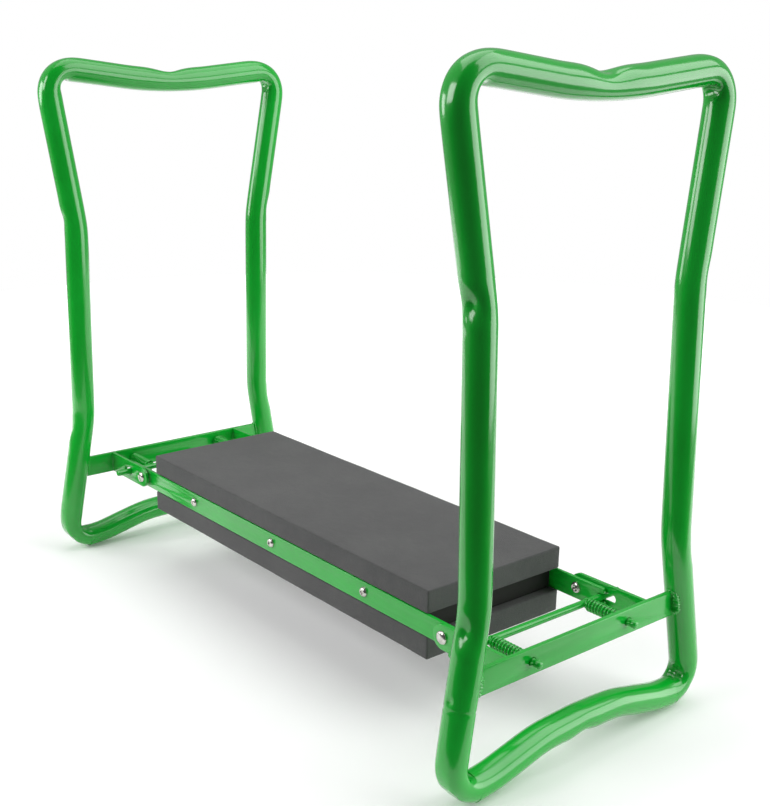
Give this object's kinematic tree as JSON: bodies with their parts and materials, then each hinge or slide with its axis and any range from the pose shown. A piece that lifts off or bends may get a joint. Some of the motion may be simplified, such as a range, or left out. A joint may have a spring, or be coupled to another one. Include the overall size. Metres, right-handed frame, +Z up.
{
  "type": "folding garden kneeler seat",
  "caption": "Folding garden kneeler and seat: a foam padded deck between two bent tube loops that fold inward on riveted brackets with sprung lock rods.",
  "frame": {"origin": "on the ground, midway between the two loops and between the front and back legs", "axes": "+X along the deck towards the right loop, +Y across the deck towards the back, +Z up; the kneeler stands on both ground bars with the handles up"},
  "size_m": [0.6006, 0.2716, 0.4919],
  "materials": {
    "green_coat": "gloss",
    "foam_pad": "matte",
    "seat_board": "matte",
    "nickel_fastener": "polished",
    "bare_steel": "satin"
  },
  "bodies": {
    "seat": {"top_pad": "foam_pad", "lower_pad": "foam_pad", "seat_board": "seat_board", "front_rail": "green_coat", "front_rail_screw_left": "nickel_fastener", "front_rail_screw_middle": "nickel_fastener", "front_rail_screw_right": "nickel_fastener", "left_front_pivot_rivet": "nickel_fastener", "left_front_pivot_washer": "bare_steel", "right_front_pivot_rivet": "nickel_fastener", "right_front_pivot_washer": "bare_steel", "back_rail": "green_coat", "back_rail_screw_left": "nickel_fastener", "back_rail_screw_middle": "nickel_fastener", "back_rail_screw_right": "nickel_fastener", "left_back_pivot_rivet": "nickel_fastener", "left_back_pivot_washer": "bare_steel", "right_back_pivot_rivet": "nickel_fastener", "right_back_pivot_washer": "bare_steel"},
    "right_loop": {"right_loop_tube": "green_coat", "right_joint_sleeve": "bare_steel", "right_crossbar": "green_coat", "right_front_bracket": "green_coat", "right_back_bracket": "green_coat", "right_front_lock_spring": "green_coat", "right_back_lock_spring": "green_coat"},
    "right_lock": {"right_lock_rod": "green_coat", "right_front_guide_pin": "green_coat", "right_back_guide_pin": "green_coat"},
    "left_loop": {"left_loop_tube": "green_coat", "left_joint_sleeve": "bare_steel", "left_crossbar": "green_coat", "left_front_bracket": "green_coat", "left_back_bracket": "green_coat", "left_front_lock_spring": "green_coat", "left_back_lock_spring": "green_coat"},
    "left_lock": {"left_lock_rod": "green_coat", "left_front_guide_pin": "green_coat", "left_back_guide_pin": "green_coat"}
  },
  "joints": [
    {"name": "right_fold", "type": "hinge", "parent": "seat", "child": "right_loop", "pos_m": [0.2235, 0, 0.0868], "axis": [0, -1, 0], "range_deg": [0, 90]},
    {"name": "right_lock_slide", "type": "slide", "parent": "right_loop", "child": "right_lock", "axis": [1, 0, 0], "range_m": [0, 0.008], "stiffness_N_per_m": 1200, "springref_m": -0.012, "deforming": ["right_front_lock_spring", "right_back_lock_spring"]},
    {"name": "left_fold", "type": "hinge", "parent": "seat", "child": "left_loop", "pos_m": [-0.2235, 0, 0.0868], "axis": [0, 1, 0], "range_deg": [0, 68]},
    {"name": "left_lock_slide", "type": "slide", "parent": "left_loop", "child": "left_lock", "axis": [-1, 0, 0], "range_m": [0, 0.008], "stiffness_N_per_m": 1200, "springref_m": -0.012, "deforming": ["left_front_lock_spring", "left_back_lock_spring"]}
  ]
}
